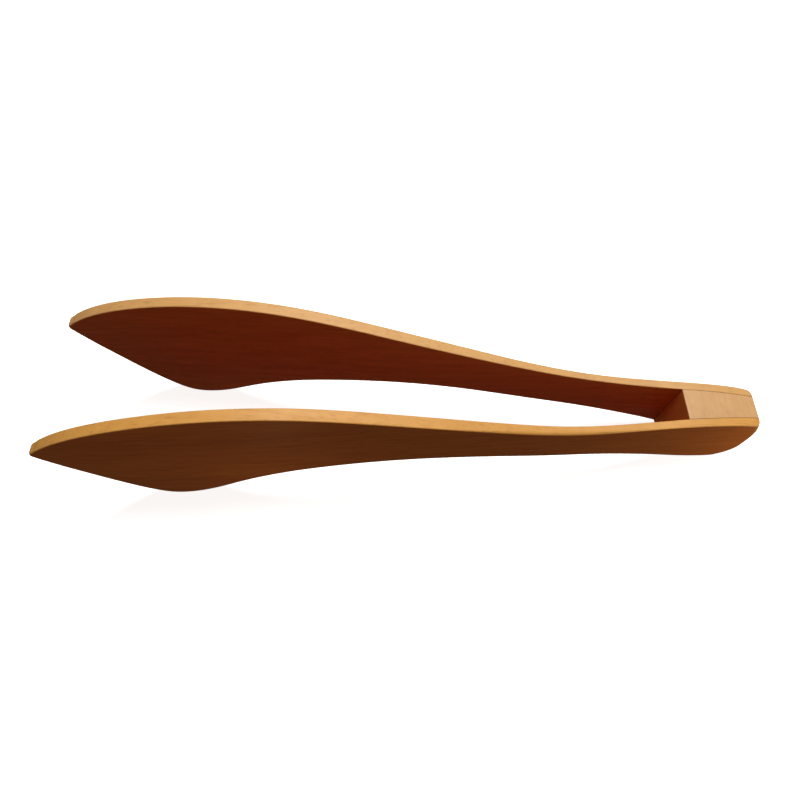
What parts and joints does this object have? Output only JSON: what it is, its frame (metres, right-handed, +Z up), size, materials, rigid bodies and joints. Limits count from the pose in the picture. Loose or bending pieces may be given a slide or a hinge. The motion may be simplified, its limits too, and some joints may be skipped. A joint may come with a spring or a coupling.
{
  "type": "wooden kitchen tongs",
  "caption": "Wooden kitchen tongs: two thin springy arms with paddle-shaped blades, glued to a wedge block at the tail.",
  "frame": {"origin": "on the surface the tongs stand on, at the centre of their bounding box", "axes": "+X along the tongs from the blade tips to the tail, +Z up from the blades' lower edges, Y across the two arms"},
  "size_m": [0.2997, 0.063, 0.0723],
  "materials": {
    "arm_wood": "satin",
    "block_wood": "satin",
    "glue": "satin"
  },
  "bodies": {
    "tail": {"wedge_block": "block_wood", "left_glue_film": "glue", "right_glue_film": "glue", "left_arm_heel": "arm_wood", "right_arm_heel": "arm_wood"},
    "left_blade": {"left_arm_blade": "arm_wood"},
    "right_blade": {"right_arm_blade": "arm_wood"}
  },
  "joints": [
    {"name": "left_arm_flex", "type": "hinge", "parent": "tail", "child": "left_blade", "pos_m": [0.0798, -0.01234, 0.024], "axis": [0, 0, -1], "range_deg": [-3, 6.5], "stiffness_Nm_per_rad": 16},
    {"name": "right_arm_flex", "type": "hinge", "parent": "tail", "child": "right_blade", "pos_m": [0.0798, 0.01234, 0.024], "axis": [0, 0, 1], "range_deg": [-3, 6.5], "stiffness_Nm_per_rad": 16}
  ]
}
